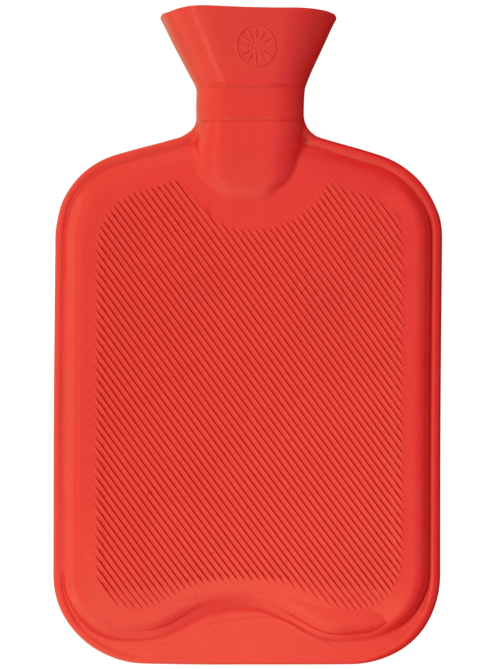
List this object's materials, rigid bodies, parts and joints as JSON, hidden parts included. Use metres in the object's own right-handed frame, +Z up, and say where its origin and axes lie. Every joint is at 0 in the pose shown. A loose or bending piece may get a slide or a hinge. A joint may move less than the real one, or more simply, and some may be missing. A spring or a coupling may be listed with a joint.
{
  "type": "hot water bottle",
  "caption": "Flat ribbed rubber bottle with a flared funnel neck and a screw stopper, filled with hot water to warm a bed or a person.",
  "frame": {"origin": "centre of the bounding box's footprint, on the ground that the empty bottle lies on", "axes": "+Z up, away from the ground; +Y from the bag's bottom edge towards the mouth; +X across the bag. The ribbed front faces up. The parting plane is turned by 3.06 degrees about X, because the mouth's lip and the lower end of the back panel touch the ground."},
  "size_m": [0.2, 0.3352, 0.052],
  "materials": {
    "red_rubber": "smooth moulded rubber with a soft sheen",
    "insert_plastic": "moulded plastic",
    "stopper_plastic": "fine satin moulded plastic",
    "washer_rubber": "soft matte rubber"
  },
  "bodies": {
    "bottle": {"rubber_body": "red_rubber", "neck_insert": "insert_plastic"},
    "washer": {"stopper_washer": "washer_rubber"},
    "stopper": {"stopper": "stopper_plastic"}
  },
  "joints": [
    {"name": "stopper_rise", "type": "slide", "parent": "bottle", "child": "washer", "axis": [0, 0.9986, 0.0534], "range_m": [0, 0.0141]},
    {"name": "stopper_turn", "type": "hinge", "parent": "washer", "child": "stopper", "pos_m": [0, 0.12601, 0.02397], "axis": [0, 0.9986, 0.0534], "range_deg": [0, 1440]}
  ],
  "couplings": [
    {"joint": "stopper_rise", "follows": "stopper_turn", "m_per_rad": 0.00055704}
  ]
}
